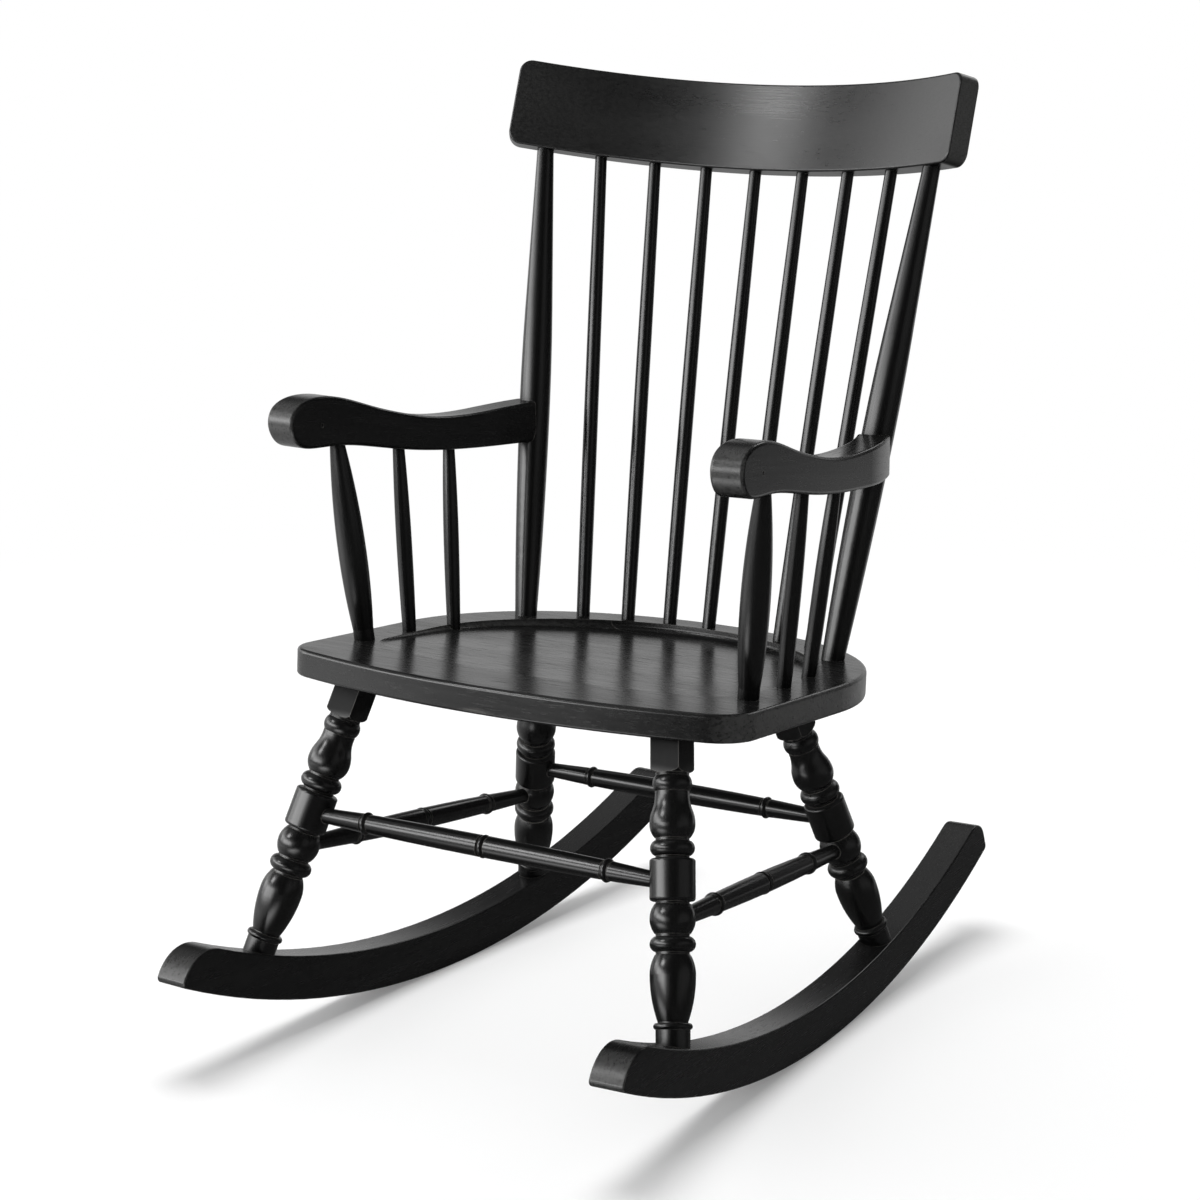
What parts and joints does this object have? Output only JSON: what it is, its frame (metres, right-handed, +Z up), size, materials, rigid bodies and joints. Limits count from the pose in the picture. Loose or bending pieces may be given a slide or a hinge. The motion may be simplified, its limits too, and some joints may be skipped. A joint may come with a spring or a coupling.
{
  "type": "rocking chair",
  "caption": "Painted wooden rocking chair with a dished seat, turned legs and stretchers, a spindle back under a bent crest rail, and scrolled arms.",
  "frame": {"origin": "on the floor, under the middle of the chair's box", "axes": "+Z up, +X to the right as a viewer in front of the chair sees it, and the chair faces -Y, so that a sitter looks along -Y"},
  "size_m": [0.6382, 0.9846, 1.1112],
  "materials": {
    "painted_wood": "satin black paint over open-grained hardwood, rubbed lighter along the arrises",
    "screw_steel": "plain steel wood screws, hidden under plugs"
  },
  "bodies": {
    "root": {"seat": "painted_wood", "crest_rail": "painted_wood", "back_post_left": "painted_wood", "back_post_right": "painted_wood", "back_spindle_1": "painted_wood", "back_spindle_2": "painted_wood", "back_spindle_3": "painted_wood", "back_spindle_4": "painted_wood", "back_spindle_5": "painted_wood", "back_spindle_6": "painted_wood", "back_spindle_7": "painted_wood", "arm_left": "painted_wood", "arm_right": "painted_wood", "arm_post_left": "painted_wood", "arm_post_right": "painted_wood", "arm_spindle_front_left": "painted_wood", "arm_spindle_front_right": "painted_wood", "arm_spindle_rear_left": "painted_wood", "arm_spindle_rear_right": "painted_wood", "front_leg_left": "painted_wood", "front_leg_right": "painted_wood", "back_leg_left": "painted_wood", "back_leg_right": "painted_wood", "front_stretcher": "painted_wood", "back_stretcher": "painted_wood", "side_stretcher_left": "painted_wood", "side_stretcher_right": "painted_wood", "rocker_left": "painted_wood", "rocker_right": "painted_wood", "arm_pins": "painted_wood", "arm_screw_plugs": "painted_wood", "rocker_screw_plugs": "painted_wood", "arm_screws": "screw_steel", "rocker_screws": "screw_steel"}
  },
  "joints": []
}
